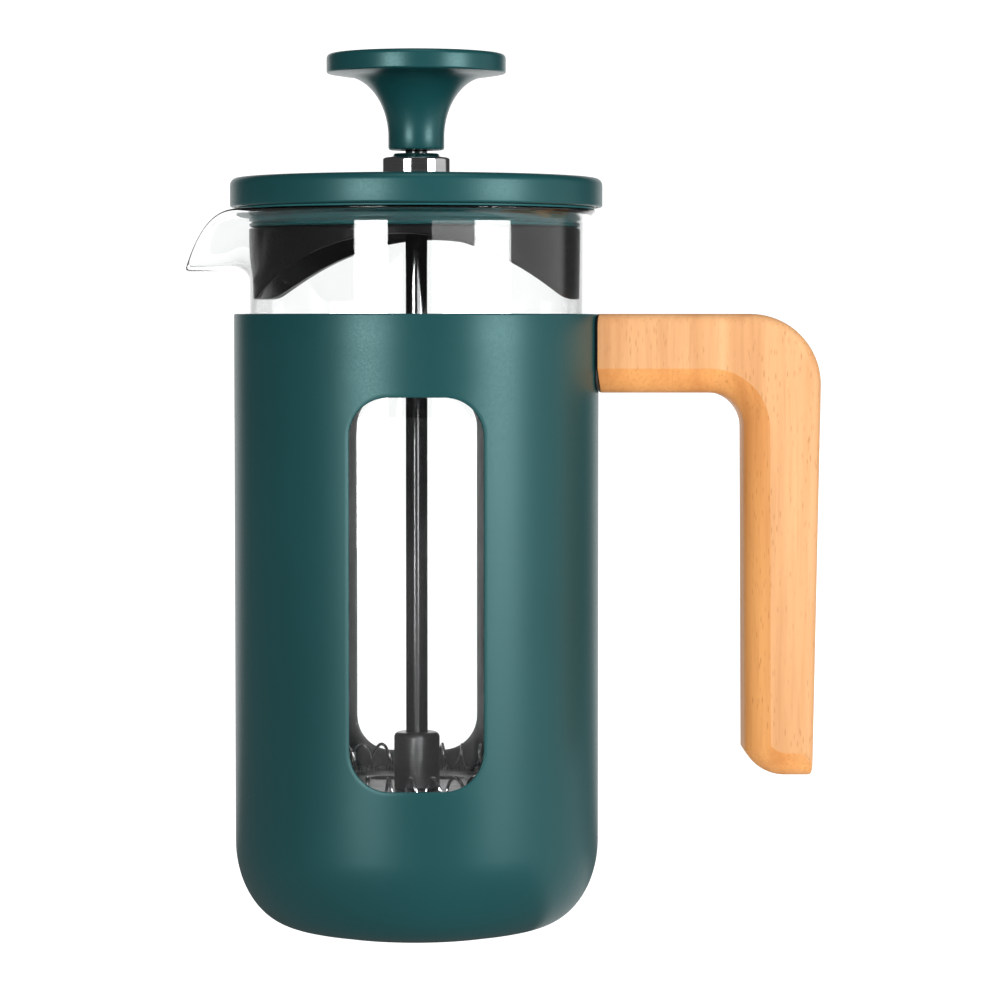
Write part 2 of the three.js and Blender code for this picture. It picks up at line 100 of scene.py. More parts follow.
def piece(name, verts, faces, body, materials, face_materials=None, sharp=SHARP):
    """A closed mesh from points in millimetres, which rides on a body.

    It stands for the CAD node that has its name without "look_".
    """
    mesh = bpy.data.meshes.new(name)
    mesh.from_pydata([(x * MM, y * MM, z * MM) for x, y, z in verts], [], faces)
    for material in materials:
        mesh.materials.append(material)
    if face_materials:
        mesh.polygons.foreach_set("material_index", face_materials)
    bm = bmesh.new()
    bm.from_mesh(mesh)
    bmesh.ops.recalc_face_normals(bm, faces=bm.faces)
    bm.to_mesh(mesh)
    bm.free()
    mesh.shade_smooth()
    mesh.set_sharp_from_angle(angle=sharp)
    obj = bpy.data.objects.new(name, mesh)
    bpy.context.scene.collection.objects.link(obj)
    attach(obj, body)
    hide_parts(name.removeprefix("look_"))
    return obj


def turned(profile, segments=144, closed=True, z=0.0):
    """Points and faces of a profile [(radius, height)] turned round Z, with height 0 at z."""
    verts, faces, rings = [], [], []
    for r, h in profile:
        if r < 1e-6:
            rings.append([len(verts)])
            verts.append((0, 0, h + z))
        else:
            rings.append(list(range(len(verts), len(verts) + segments)))
            for i in range(segments):
                a = TAU * i / segments
                verts.append((r * math.cos(a), r * math.sin(a), h + z))
    if closed:
        rings.append(rings[0])
    for low, high in zip(rings, rings[1:]):
        for i in range(segments):
            j = (i + 1) % segments
            quad = [low[i % len(low)], low[j % len(low)], high[j % len(high)], high[i % len(high)]]
            face = list(dict.fromkeys(quad))
            if len(face) > 2:
                faces.append(face)
    return verts, faces


def lathe(name, profile, body, material, z=0.0, segments=144, closed=True, move=None):
    """A turned piece. move can put each point (x, y, z) somewhere else."""
    verts, faces = turned(profile, segments, closed, z)
    if move:
        verts = [move(v) for v in verts]
    return piece(name, verts, faces, body, [material])


def bridge(rings):
    """Faces between rings of the same number of vertex indices."""
    faces = []
    for low, high in zip(rings, rings[1:]):
        for i in range(len(low)):
            j = (i + 1) % len(low)
            faces.append((low[i], low[j], high[j], high[i]))
    return faces


# ---------------------------------------------------------------- materials

def new_material(name, color, roughness, metallic=0.0, **sockets):
    """A material with its node tree and shader. sockets are the shader's other values."""
    made = bpy.data.materials.new(name)
    made.use_nodes = True
    shader = made.node_tree.nodes["Principled BSDF"]
    shader.inputs["Base Color"].default_value = (*color, 1)
    shader.inputs["Roughness"].default_value = roughness
    shader.inputs["Metallic"].default_value = metallic
    for key, value in sockets.items():
        shader.inputs[key.replace("_", " ")].default_value = value
    return made, made.node_tree, shader


def add(tree, kind, **inputs):
    """A node of a kind, with some of its inputs set."""
    node = tree.nodes.new(kind)
    for key, value in inputs.items():
        node.inputs[key.replace("_", " ")].default_value = value
    return node


def add_math(tree, operation, a, b):
    """A Math node's result. a and b are numbers or other nodes' outputs."""
    node = tree.nodes.new("ShaderNodeMath")
    node.operation = operation
    for socket, value in zip(node.inputs, (a, b)):
        if isinstance(value, (int, float)):
            socket.default_value = value
        else:
            tree.links.new(value, socket)
    return node.outputs[0]


def coordinates(tree, scale=(1, 1, 1)):
    """The piece's own coordinates in metres, stretched."""
    source = tree.nodes.new("ShaderNodeTexCoord")
    mapping = add(tree, "ShaderNodeMapping", Scale=scale)
    tree.links.new(source.outputs["Object"], mapping.inputs["Vector"])
    return mapping.outputs["Vector"]


def noise(tree, vector, scale, detail=3.0, roughness=0.55):
    node = add(tree, "ShaderNodeTexNoise", Scale=scale, Detail=detail, Roughness=roughness)
    tree.links.new(vector, node.inputs["Vector"])
    return node.outputs["Fac"]


def ramp(tree, value, stops):
    """Maps a value to colours. stops is [(position, colour)]."""
    node = tree.nodes.new("ShaderNodeValToRGB")
    tree.links.new(value, node.inputs["Fac"])
    elements = node.color_ramp.elements
    while len(elements) < len(stops):
        elements.new(0.5)
    for element, (position, color) in zip(elements, stops):
        element.position = position
        element.color = (*color, 1)
    return node.outputs["Color"]


def to_range(tree, value, low, high, start=0.3, end=0.7):
    """Maps start to end onto low to high, and holds the ends."""
    node = add(tree, "ShaderNodeMapRange")
    node.inputs["From Min"].default_value = start
    node.inputs["From Max"].default_value = end
    node.inputs["To Min"].default_value = low
    node.inputs["To Max"].default_value = high
    tree.links.new(value, node.inputs["Value"])
    return node.outputs["Result"]


def bump(tree, shader, height, strength, distance, before=None):
    """Gives the shader a bump, on top of one made before where there is one."""
    node = add(tree, "ShaderNodeBump", Strength=strength, Distance=distance)
    tree.links.new(height, node.inputs["Height"])
    if before:
        tree.links.new(before, node.inputs["Normal"])
    tree.links.new(node.outputs["Normal"], shader.inputs["Normal"])
    return node.outputs["Normal"]


def mix(tree, factor, below, above, mode="MIX"):
    """Lays one colour over another by a factor. Each is a tuple or another node's output."""
    node = tree.nodes.new("ShaderNodeMix")
    node.data_type = "RGBA"
    node.blend_type = mode
    tree.links.new(factor, node.inputs["Factor"])
    for socket, value in zip(node.inputs[6:8], (below, above)):
        if isinstance(value, tuple):
            socket.default_value = (*value, 1)
        else:
            tree.links.new(value, socket)
    return node.outputs[2]


def shade(tree, shader, value, color, darkest, lightest):
    """Lets the base colour drift with a noise, between two shares of the colour."""
    stops = [
        (start, tuple(min(1, c * share) for c in color))
        for start, share in ((0.3, darkest), (0.7, lightest))
    ]
    tree.links.new(ramp(tree, value, stops), shader.inputs["Base Color"])


def gloss(tree, shader, value, at_low, at_high):
    """Lets the roughness drift with a noise, between its values at the noise's low and high ends."""
    tree.links.new(to_range(tree, value, at_low, at_high), shader.inputs["Roughness"])


def painted(name, color, roughness):
    """Satin paint with a fine powder-coat texture and a slow change of shade."""
    made, tree, shader = new_material(name, color, roughness, Specular_IOR_Level=0.52)
    shader.inputs["Specular Tint"].default_value = (0.60, 1.0, 1.0, 1)
    place = coordinates(tree)
    shade(tree, shader, noise(tree, place, 22.0, 2.0), color, 0.93, 1.07)
    fine = noise(tree, place, 2600.0, 2.0)
    gloss(tree, shader, fine, roughness - 0.03, roughness + 0.04)
    bump(tree, shader, fine, 0.06, 0.00012)
    return made


def plastic(name, color, roughness, **sockets):
    """Plastic or rubber with the fine grain of its mould."""
    made, tree, shader = new_material(name, color, roughness, **sockets)
    place = coordinates(tree)
    shade(tree, shader, noise(tree, place, 35.0, 2.0), color, 0.9, 1.1)
    fine = noise(tree, place, 3200.0, 2.0)
    gloss(tree, shader, fine, roughness - 0.04, roughness + 0.05)
    bump(tree, shader, fine, 0.06, 0.0001)
    return made


def metal(name, color, roughness, stretch, strength=0.05, spread=0.08):
    """Metal brushed along the direction in which the noise is stretched."""
    made, tree, shader = new_material(name, color, roughness, 1.0)
    lines = noise(tree, coordinates(tree, stretch), 1.0, 4.0, 0.65)
    shade(tree, shader, lines, color, 0.9, 1.08)
    gloss(tree, shader, lines, max(0.02, roughness - spread), roughness + spread)
    bump(tree, shader, lines, strength, 0.00005)
    return made


def beech(name):
    """Pale beech: long streaks along Z, soft bands, and the short dark flecks of its rays."""
    dark, middle, pale = (0.540, 0.258, 0.105), (0.618, 0.320, 0.139), (0.680, 0.376, 0.177)
    # The last tint darkens and deepens the grip's inner side, as painted shade.
    streak, fleck, inner_shade_tint = (0.46, 0.21, 0.08), (0.44, 0.20, 0.075), (1.22, 1.02, 0.70)
    inner_side = (-0.71, 0.0, -0.71)
    made, tree, shader = new_material(name, middle, 0.5, Specular_IOR_Level=0.35)
    warp = noise(tree, coordinates(tree, (1, 1, 0.3)), 45.0, 2.0)
    source = coordinates(tree, (1, 1, 0.06))
    shift = tree.nodes.new("ShaderNodeVectorMath")
    shift.operation = "MULTIPLY_ADD"
    shift.inputs[1].default_value = (0.0022, 0.0022, 0.0)
    tree.links.new(warp, shift.inputs[0])
    tree.links.new(source, shift.inputs[2])
    bands = noise(tree, shift.outputs["Vector"], 210.0, 3.0, 0.5)
    base = ramp(tree, bands, [(0.30, dark), (0.48, middle), (0.70, pale)])
    streaks = noise(tree, coordinates(tree, (1, 1, 0.035)), 1500.0, 2.0, 0.6)
    toned = mix(tree, to_range(tree, streaks, 0.0, 0.38, 0.5, 0.75), base, streak)
    flecks = add(tree, "ShaderNodeTexVoronoi", Scale=1.0, Randomness=1.0)
    tree.links.new(coordinates(tree, (1500, 1500, 300)), flecks.inputs["Vector"])
    near = to_range(tree, flecks.outputs["Distance"], 1.0, 0.0, 0.12, 0.30)
    patches = to_range(tree, noise(tree, coordinates(tree), 160.0, 2.0), 0.15, 0.75, 0.40, 0.62)
    rays = add_math(tree, "MULTIPLY", near, patches)
    flecked = mix(tree, rays, toned, fleck)
    # The bevels and faces on the inside of the grip, which face down and towards the housing, away from
    # the lights, are painted a deeper colour: painted shade.
    facing = tree.nodes.new("ShaderNodeVectorMath")
    facing.operation = "DOT_PRODUCT"
    facing.inputs[1].default_value = inner_side
    tree.links.new(tree.nodes.new("ShaderNodeTexCoord").outputs["Normal"], facing.inputs[0])
    painted_shade = to_range(tree, facing.outputs["Value"], 0.0, 1.0, 0.10, 0.40)
    shaded_wood = mix(tree, painted_shade, flecked, inner_shade_tint, "MULTIPLY")
    tree.links.new(shaded_wood, shader.inputs["Base Color"])
    gloss(tree, shader, bands, 0.56, 0.46)
    first = bump(tree, shader, streaks, 0.10, 0.00012)
    bump(tree, shader, rays, -0.12, 0.0001, first)
    return made


def clear_glass(name):
    """Clear borosilicate glass with the slight waviness of blown and pulled glass."""
    made, tree, shader = new_material(
        name, (0.985, 0.995, 0.992), 0.0, Transmission_Weight=1.0, IOR=1.55
    )
    waves = noise(tree, coordinates(tree, (1, 1, 0.4)), 60.0, 1.0)
    bump(tree, shader, waves, 0.03, 0.0004)
    return made


def woven(name):
    """Fine woven wire cloth, with its two sets of wires along X and Y."""
    gap, wire = (0.22, 0.22, 0.22), (0.55, 0.55, 0.56)
    made, tree, shader = new_material(name, wire, 0.32, 1.0)
    heights = []
    for direction in ("X", "Y"):
        wave = add(tree, "ShaderNodeTexWave", Scale=520.0)
        wave.bands_direction = direction
        tree.links.new(coordinates(tree), wave.inputs["Vector"])
        heights.append(wave.outputs["Fac"])
    top = add_math(tree, "MAXIMUM", *heights)
    # The low places between the wires take the darker gap colour, as painted shade.
    tree.links.new(ramp(tree, top, [(0.35, gap), (0.8, wire)]), shader.inputs["Base Color"])
    bump(tree, shader, top, 0.6, 0.0002)
    return made


GREEN = (0.0058, 0.0480, 0.0520)
PAINT = painted("green_paint", GREEN, 0.35)
KNOB_PAINT = painted("green_knob_paint", GREEN, 0.32)
SEAL_RUBBER = plastic("green_silicone", (0.022, 0.125, 0.132), 0.30, Specular_IOR_Level=0.22)
BLACK = plastic("black_plastic", (0.0125, 0.0118, 0.0125), 0.30, Specular_IOR_Level=0.14)
RUBBER = plastic("black_rubber", (0.012, 0.012, 0.012), 0.6)
SILICONE = plastic("grey_silicone", (0.055, 0.055, 0.055), 0.5)
WOOD = beech("beech")
GLASS = clear_glass("clear_glass")
STEEL_INSIDE = metal("drawn_steel", (0.66, 0.66, 0.665), 0.36, (900, 900, 14), 0.08)
STEEL_ROD = metal("drawn_rod", (0.21, 0.21, 0.215), 0.12, (1600, 1600, 20), 0.06, 0.05)
STEEL_HUB = metal("machined_hub", (0.28, 0.28, 0.285), 0.38, (60, 60, 3000), 0.08)
STEEL = metal("stamped_steel", (0.40, 0.39, 0.395), 0.42, (320, 320, 320), 0.05)
SPRING_STEEL = metal("spring_steel", (0.68, 0.68, 0.69), 0.22, (900, 900, 900), 0.03, 0.05)
CHROME = metal("chrome", (0.80, 0.80, 0.81), 0.06, (40, 40, 4000), 0.02, 0.02)
BRASS = metal("brass", (0.60, 0.42, 0.17), 0.3, (60, 60, 2500), 0.06)
MESH_CLOTH = woven("wire_cloth")


# ---------------------------------------------------------------- housing

def height_of(node):
    """A CAD node's lowest and highest Z in millimetres."""
    low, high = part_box(node)
    return low[2] / MM, high[2] / MM


HOUSING_R, HOUSING_WALL = 37.5, 0.8
CORNER_OUT, CORNER_UP = 12.7, 17.5
HOUSING_Z, HOUSING_TOP = height_of("housing_shell")
WINDOW_HALF, WINDOW_CORNER = 13.3, 7.8
WINDOW_LOW, WINDOW_HIGH = HOUSING_Z + 31.7, HOUSING_Z + 109.5


def window_outline(grow):
    """The window's outline as (x, z), from its lower left corner's middle, grown by a distance."""
    x = WINDOW_HALF - WINDOW_CORNER
    low, high = WINDOW_LOW + WINDOW_CORNER, WINDOW_HIGH - WINDOW_CORNER
    r = WINDOW_CORNER + grow

    def side(c0, c1, angle, half_steps, straight_steps):
        first = arc(*c0, r, r, angle, angle + 45, half_steps)
        last = arc(*c1, r, r, angle + 45, angle + 90, half_steps)
        a, b = first[-1], last[0]
        line = [
            (lerp(a[0], b[0], k / straight_steps), lerp(a[1], b[1], k / straight_steps))
            for k in range(1, straight_steps)
        ]
        return first + line + last[:-1]

    return (
        side((-x, low), (x, low), 225, 7, 10)
        + side((x, low), (x, high), 315, 7, 16)
        + side((x, high), (-x, high), 45, 7, 10)
        + side((-x, high), (-x, low), 135, 7, 16)
    )


def housing():
    """The steel cup as one closed mesh: a grid round the axis, with a patch round each window."""
    patch_columns, patch_rows, side_columns = 24, 30, 64
    half_patch, patch_margin = 24.75, 4
    edge, bevel, collar = 0.3, 0.22, 0.9
    paint, bare = 0, 1
    columns = []
    for start, end, count in (
        (-half_patch, half_patch, patch_columns),
        (half_patch, 180 - half_patch, side_columns),
        (180 - half_patch, 180 + half_patch, patch_columns),
        (180 + half_patch, 360 - half_patch, side_columns),
    ):
        columns += [math.radians(lerp(start, end, k / count)) for k in range(count)]
    total = len(columns)
    low, high = WINDOW_LOW - patch_margin, WINDOW_HIGH + patch_margin
    levels = [lerp(low, high, k / patch_rows) for k in range(patch_rows + 1)]
    verts, faces, kinds = [], [], []

    def vertex(r, angle, z):
        verts.append((r * math.sin(angle), -r * math.cos(angle), z))
        return len(verts) - 1

    def ring(r, z):
        return [vertex(r, a, z) for a in columns]

    def surface(depth):
        """Rings from the base up to just below the rim, at a depth into the sheet."""
        r = HOUSING_R - depth
        out, up = CORNER_OUT - depth, CORNER_UP - depth
        corner = arc(HOUSING_R - CORNER_OUT, HOUSING_Z + CORNER_UP, out, up, -90, 0, 22)
        base = [(x, HOUSING_Z + depth) for x in (4, 10, 17)]
        wall = [(r, z) for z in (HOUSING_Z + 21, *levels, HOUSING_TOP - 7, HOUSING_TOP - edge)]
        rows = [ring(*p) for p in base + corner + wall]
        first_level = len(base) + len(corner) + 1
        return rows, first_level

    outer, first = surface(0)
    inner, _ = surface(HOUSING_WALL)
    last = first + patch_rows

    def grid(rows, depth, kind):
        """The base and the wall, apart from the two patches."""
        back = patch_columns + side_columns
        for i in range(len(rows) - 1):
            for j in range(total):
                in_patch = j < patch_columns or back <= j < back + patch_columns
                if first <= i < last and in_patch:
                    continue
                k = (j + 1) % total
                faces.append((rows[i][j], rows[i][k], rows[i + 1][k], rows[i + 1][j]))
                kinds.append(kind)
        centre = vertex(0, 0, HOUSING_Z + depth)
        for j in range(total):
            faces.append((centre, rows[0][(j + 1) % total], rows[0][j]))
            kinds.append(kind)

    grid(outer, 0, paint)
    grid(inner, HOUSING_WALL, bare)
    rim = arc(HOUSING_R - edge, HOUSING_TOP - edge, edge, edge, 0, 90, 4)[1:]
    rim += arc(HOUSING_R - HOUSING_WALL + edge, HOUSING_TOP - edge, edge, edge, 90, 180, 4)[:-1]
    rim_rings = [outer[-1], *[ring(*p) for p in rim], inner[-1]]
    rim_faces = bridge(rim_rings)
    faces.extend(rim_faces)
    kinds.extend([paint] * len(rim_faces))

    def boundary(rows, column):
        """The vertices round a patch, from its lower left corner."""
        right = column + patch_columns
        bottom = [rows[first][column + k] for k in range(patch_columns)]
        up = [rows[first + k][right % total] for k in range(patch_rows)]
        top = [rows[last][(right - k) % total] for k in range(patch_columns)]
        down = [rows[last - k][column] for k in range(patch_rows)]
        return bottom + up + top + down

    def hole_ring(grow, depth, middle):
        """The window's outline on the sheet, at a depth into it."""
        r = HOUSING_R - depth
        return [vertex(r, middle + math.asin(x / r), z) for x, z in window_outline(grow)]

    def between(ring_a, ring_b, depth):
        """A ring halfway between two others."""
        made = []
        for a, b in zip(ring_a, ring_b):
            angle_a = math.atan2(verts[a][0], -verts[a][1])
            angle_b = math.atan2(verts[b][0], -verts[b][1])
            gap = math.remainder(angle_b - angle_a, TAU)
            z = (verts[a][2] + verts[b][2]) / 2
            made.append(vertex(HOUSING_R - depth, angle_a + gap / 2, z))
        return made

    for column, middle in ((0, 0.0), (patch_columns + side_columns, math.pi)):
        outer_line = boundary(outer, column)
        inner_line = boundary(inner, column)
        outer_hole = hole_ring(collar, 0, middle)
        inner_hole = hole_ring(collar, HOUSING_WALL, middle)
        rings = [outer_line, between(outer_line, outer_hole, 0), outer_hole]
        turns = [math.radians(30 * k) for k in range(4)]
        for a in turns:
            rings.append(hole_ring(bevel * (1 - math.sin(a)), bevel * (1 - math.cos(a)), middle))
        painted_strips = len(rings) + 2  # the paint wraps round the cut edge onto its inner bevel
        for a in reversed(turns):
            depth = HOUSING_WALL - bevel * (1 - math.cos(a))
            rings.append(hole_ring(bevel * (1 - math.sin(a)), depth, middle))
        rings += [inner_hole, between(inner_line, inner_hole, HOUSING_WALL), inner_line]
        patch = bridge(rings)
        faces.extend(patch)
        painted_faces = painted_strips * len(outer_line)
        kinds.extend(paint if k < painted_faces else bare for k in range(len(patch)))
    return piece(
        "look_housing_shell", verts, faces, "housing", [PAINT, STEEL_INSIDE], kinds
    )


housing()

PAD_R, PAD_TOP = 22, 0.75
lathe("look_foot_pad", rounded([
    (0, 0), (PAD_R, 0, 0.25), (PAD_R, PAD_TOP, 0.25), (0, PAD_TOP),
], closed=False), "housing", RUBBER, closed=False)


def seat():
    """The soft seat in the housing's base, hollowed to the beaker's round corner."""
    gap_out, gap_under, lip_height = 0.3, 0.05, 12.3
    hollow_x, hollow_z, hollow = 28.2, 14.7, 7.3
    out, up = CORNER_OUT - HOUSING_WALL - gap_out, CORNER_UP - HOUSING_WALL - gap_under
    lip = -math.degrees(math.asin((CORNER_UP - lip_height) / up))
    start = -math.degrees(math.asin((hollow_z - lip_height) / hollow))
    profile = (
        [(0, HOUSING_WALL + gap_under)]
        + arc(HOUSING_R - CORNER_OUT, CORNER_UP, out, up, -90, lip, 16)
        + arc(hollow_x, hollow_z, hollow, hollow, start, -90, 12)
        + [(0, hollow_z - hollow)]
    )
    return lathe("look_beaker_seat", profile, "housing", SILICONE, HOUSING_Z, closed=False)


seat()

RING_IN, RING_OUT = 35.55, 36.5
RING_LOW, RING_HIGH = height_of("centring_ring")
lathe("look_centring_ring", rounded([
    (RING_IN, RING_LOW, 0.3), (RING_OUT, RING_LOW, 0.3),
    (RING_OUT, RING_HIGH, 0.4), (RING_IN, RING_HIGH, 0.4),
]), "housing", SILICONE)


# ---------------------------------------------------------------- handle

HANDLE_TOP, HANDLE_UNDER = 126.8, 110.65
HANDLE_OUT, HANDLE_IN = 82.7, 67.1
HANDLE_END, HANDLE_HALF = 31.9, 10.0
OUTER_BEND, INNER_BEND = 14.5, 7.2
OUTER_EDGE, INNER_EDGE, BEVEL_POWER = 2.5, 5.0, 1.7
END_BEND, END_START = 9.3, 75.8
OUT_TAPER, IN_TAPER = 1.4, 0.4
SADDLE = HOUSING_R + 0.7


def handle_outline(root, outer, inner):
    """The handle's side as [(x, z)], drawn in from its outside and its inside."""
    ease = 0.6
    bend_x, bend_z = HANDLE_OUT - OUTER_BEND, HANDLE_TOP - OUTER_BEND
    hollow_x, hollow_z = HANDLE_IN - INNER_BEND, HANDLE_UNDER - INNER_BEND
    end_r = END_BEND - inner
    face_x = HANDLE_IN + IN_TAPER + inner
    end_angle = -180 + math.degrees(math.acos((END_START - face_x) / end_r))
    top = [(lerp(root, bend_x, k / 8), HANDLE_TOP - outer) for k in range(8)]
    bend = arc(bend_x, bend_z, OUTER_BEND - outer, OUTER_BEND - outer, 90, 0, 20)
    tip = (HANDLE_OUT - OUT_TAPER - outer, HANDLE_END + inner)
    down = [
        (lerp(bend[-1][0], tip[0], k / 16), lerp(bend[-1][1], tip[1] + ease, k / 16))
        for k in range(1, 17)
    ]
    nose = [(tip[0] - 0.3 * ease, tip[1] + 0.3 * ease), (tip[0] - ease, tip[1])]
    end = arc(END_START, HANDLE_END + END_BEND, end_r, end_r, -90, end_angle, 12)
    hollow = arc(hollow_x, hollow_z, INNER_BEND + inner, INNER_BEND + inner, 0, 90, 14)
    up = [
        (lerp(end[-1][0], hollow[0][0], k / 16), lerp(end[-1][1], hollow[0][1], k / 16))
        for k in range(1, 16)
    ]
    back = [(lerp(hollow_x, root, k / 8), HANDLE_UNDER + inner) for k in range(1, 9)]
    return top + bend + down + nose + end + up + hollow + back


def handle():
    """The L-shaped handle, from sections at steps of its width, with its root curved to the housing."""
    steps = 14
    half = HANDLE_HALF

    def past(edge, y):
        return max(0.0, abs(y) - (half - edge))

    def rounded_in(radius, y):
        return radius - math.sqrt(max(0.0, radius ** 2 - past(radius, y) ** 2))

    def bevelled_in(width, y):
        return width * (past(width, y) / width) ** BEVEL_POWER

    flat = half - INNER_EDGE
    side = [flat + INNER_EDGE * math.sin(math.pi / 2 * k / steps) for k in range(steps + 1)]
    stations = [-y for y in reversed(side)] + side
    verts, rings = [], []
    for y in stations:
        root = math.sqrt(SADDLE ** 2 - y * y)
        outline = handle_outline(root, rounded_in(OUTER_EDGE, y), bevelled_in(INNER_EDGE, y))
        rings.append(list(range(len(verts), len(verts) + len(outline))))
        verts += [(x, y, z) for x, z in outline]
    faces = bridge(rings)
    faces.append(tuple(reversed(rings[0])))
    faces.append(tuple(rings[-1]))
    return piece("look_handle", verts, faces, "housing", [WOOD], sharp=math.radians(24))


handle()


def handle_pad():
    """The thin pad at the handle's root, curved to the housing."""
    inner, outer, ease = HOUSING_R + 0.1, HOUSING_R + 0.55, 0.1
    low, high, half, corner = HANDLE_UNDER + 0.5, HANDLE_TOP - 0.5, 9.5, 2.2
    inset = 0.6  # where the ring inside each face lies, as a share of the outline
    outline = rounded([
        (-half, low, corner), (half, low, corner), (half, high, corner), (-half, high, corner),
    ], steps=8)
    middle = (low + high) / 2
    verts = []

    def ring(r, points):
        """Points (y, z) on a cylinder round the axis."""
        verts.extend((math.sqrt(r * r - y * y), y, z) for y, z in points)
        return list(range(len(verts) - len(points), len(verts)))

    def drawn_in(share):
        return [(y * share, lerp(middle, z, share)) for y, z in outline]

    eased = 1 - ease / half
    rings = [
        ring(r, drawn_in(share))
        for r, share in ((inner, eased), (inner + ease, 1), (outer - ease, 1), (outer, eased))
    ]
    faces = bridge(rings)
    for edge, r in ((rings[0], inner), (rings[-1], outer)):
        inside = ring(r, drawn_in(eased * inset))
        faces += bridge([edge, inside])
        centre = len(verts)
        verts.append((r, 0, middle))
        faces += [(a, b, centre) for a, b in zip(inside, inside[1:] + inside[:1])]
    return piece("look_handle_pad", verts, faces, "housing", [RUBBER])


handle_pad()


def screw(which):
    """A button-head screw along X, with a round recess in its head."""
    name = "handle_screw_" + which
    low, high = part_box(name)
    start, length = low[0] / MM, (high[0] - low[0]) / MM
    axis_z = (low[2] + high[2]) / 2 / MM
    head_r, head_height, recess_r, recess_depth = 3.0, 0.85, 1.15, 0.4
    thread_r, tip_r, chamfer = 2.0, 1.3, 0.8
    dome_start = math.degrees(math.asin(-0.9))
    profile = (
        [(0, recess_depth), (recess_r, recess_depth), (recess_r + 0.05, 0.12)]
        + arc(0, head_height, head_r, head_height, dome_start, 0, 10)
        + [(thread_r, head_height), (thread_r, length - chamfer), (tip_r, length), (0, length)]
    )
    return lathe(
        "look_" + name, profile, "housing", STEEL, segments=48, closed=False,
        move=lambda v: (start + v[2], v[0], axis_z + v[1]),
    )


for which in ("lower", "upper"):
    screw(which)


# ---------------------------------------------------------------- beaker

BEAKER_R, BEAKER_WALL, BEAKER_FLOOR, BEAKER_CORNER = 35.2, 1.2, 2.5, 7.0
BEAKER_HEIGHT, FLARE, FLARE_HEIGHT = 139.6, 1.8, 3.4
SPOUT_REACH, SPOUT_START, SPOUT_HALF = 12.2, 124.6, 34.0
SPOUT_BEND, BEND_SHARE = 2.4, 0.27
BEAKER_Z = height_of("glass_beaker")[0]


def outside_point(angle, height):
    """Where a point of the glass's outside goes: the rim curls out, and the spout is pulled from it."""
    away = abs(math.remainder(angle - math.pi, TAU))
    share = math.degrees(away) / SPOUT_HALF
    up = max((height - SPOUT_START) / (BEAKER_HEIGHT - SPOUT_START), 0.0)
    pull = math.cos(math.pi / 2 * share) ** 3 if share < 1 and up > 0 else 0.0
    turn = math.pi / 2 * min(up / BEND_SHARE, 1.0)
    level = max(up - BEND_SHARE, 0.0) / (1 - BEND_SHARE)
    out = SPOUT_BEND * (1 - math.cos(turn)) + (SPOUT_REACH - SPOUT_BEND) * level
    curl = FLARE * smooth((height - BEAKER_HEIGHT + FLARE_HEIGHT) / FLARE_HEIGHT) ** 2
    r = BEAKER_R + curl + pull * (out - curl)
    z = height - pull ** 3 * (height - SPOUT_START - SPOUT_BEND * math.sin(turn))
    return Vector((r * math.cos(angle), r * math.sin(angle), z + BEAKER_Z))


def beaker_point(angle, height, depth):
    """The same, at a depth into the wall, and never above the rim."""
    turn, rise = 1e-3, 1e-2
    around = outside_point(angle + turn, height) - outside_point(angle - turn, height)
    upwards = outside_point(angle, height + rise) - outside_point(angle, height - rise)
    x, y, z = outside_point(angle, height) + upwards.cross(around).normalized() * depth
    return (x, y, min(z, BEAKER_Z + BEAKER_HEIGHT))


def beaker():
    """The glass as one closed skin: up the outside, over the rim and down the inside."""
    angles = []
    for start, end, steps in (
        (180 - SPOUT_HALF, 180 + SPOUT_HALF, 72), (180 + SPOUT_HALF, 540 - SPOUT_HALF, 132),
    ):
        angles += [math.radians(lerp(start, end, k / steps)) for k in range(steps)]
    floor_rings = (4, 12, 20)
    corner_r, half = BEAKER_R - BEAKER_CORNER, BEAKER_WALL / 2
    verts, rings = [], []

    def ring(points):
        rings.append(list(range(len(verts), len(verts) + len(angles))))
        verts.extend(points)

    def flat(r, z):
        ring([(r * math.cos(a), r * math.sin(a), z + BEAKER_Z) for a in angles])

    def side(height, depth):
        ring([beaker_point(a, height, depth) for a in angles])

    heights = [SPOUT_START * k / 6 for k in range(1, 7)]
    top = BEAKER_HEIGHT - half
    heights += [lerp(SPOUT_START, top, k / 40) for k in range(1, 41)]
    for r in floor_rings:
        flat(r, 0)
    for r, z in arc(corner_r, BEAKER_CORNER, BEAKER_CORNER, BEAKER_CORNER, -90, 0, 14):
        flat(r, z)
    for h in heights:
        side(h, 0)
    for k in range(1, 10):
        a = math.pi * k / 10
        side(top + half * math.sin(a), half * (1 - math.cos(a)))
    for h in reversed(heights):
        side(h, BEAKER_WALL)
    inner_out, inner_up = BEAKER_CORNER - BEAKER_WALL, BEAKER_CORNER - BEAKER_FLOOR
    for r, z in arc(corner_r, BEAKER_CORNER, inner_out, inner_up, 0, -90, 12):
        flat(r, z)
    for r in reversed(floor_rings):
        flat(r, BEAKER_FLOOR)
    faces = bridge(rings)
    faces.append(tuple(reversed(rings[0])))
    faces.append(tuple(rings[-1]))
    return piece("look_glass_beaker", verts, faces, "beaker", [GLASS])


beaker()


# ---------------------------------------------------------------- lid

RIM_Z = height_of("glass_beaker")[1]
LID_R, LID_HEIGHT, LID_LIFT, LID_CROWN = 38.25, 5.95, 0.5, 0.3
LID_TURNED = math.radians(-6)
LID_SHEET, LID_BORE = 1.0, 4.1
CAP_TOP = LID_LIFT + LID_HEIGHT
CROWN_TOP, CAP_UNDER = CAP_TOP + LID_CROWN, CAP_TOP - LID_SHEET

